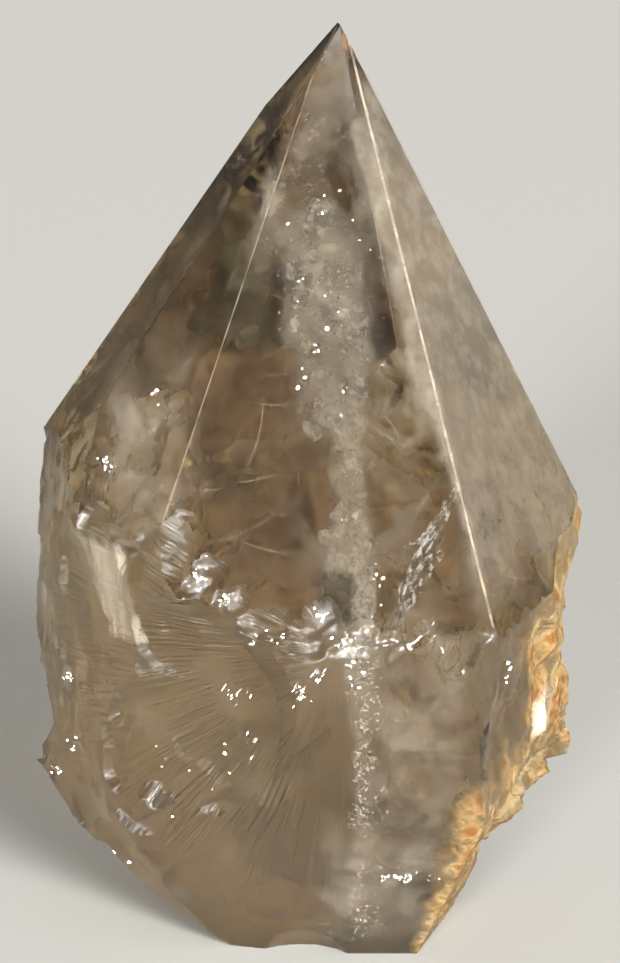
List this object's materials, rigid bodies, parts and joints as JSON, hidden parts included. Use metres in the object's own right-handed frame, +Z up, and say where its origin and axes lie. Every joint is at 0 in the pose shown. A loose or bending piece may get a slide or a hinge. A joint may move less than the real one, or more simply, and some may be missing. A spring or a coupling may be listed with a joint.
{
  "type": "polished quartz point",
  "caption": "Clear quartz crystal with flat ground faces rising to a sharp tip, over a rough broken body with a sawn flat base to stand on.",
  "frame": {"origin": "middle of the crystal's outline, on the sawn base it stands on", "axes": "+Z up towards the tip, -Y out of the broad polished front face, +X to the right seen from the front"},
  "size_m": [0.072, 0.0676, 0.1172],
  "materials": {
    "quartz": "clear, faintly smoky quartz: ground and polished faces over satin natural fractures"
  },
  "bodies": {
    "root": {"quartz_crystal": "quartz"}
  },
  "joints": []
}
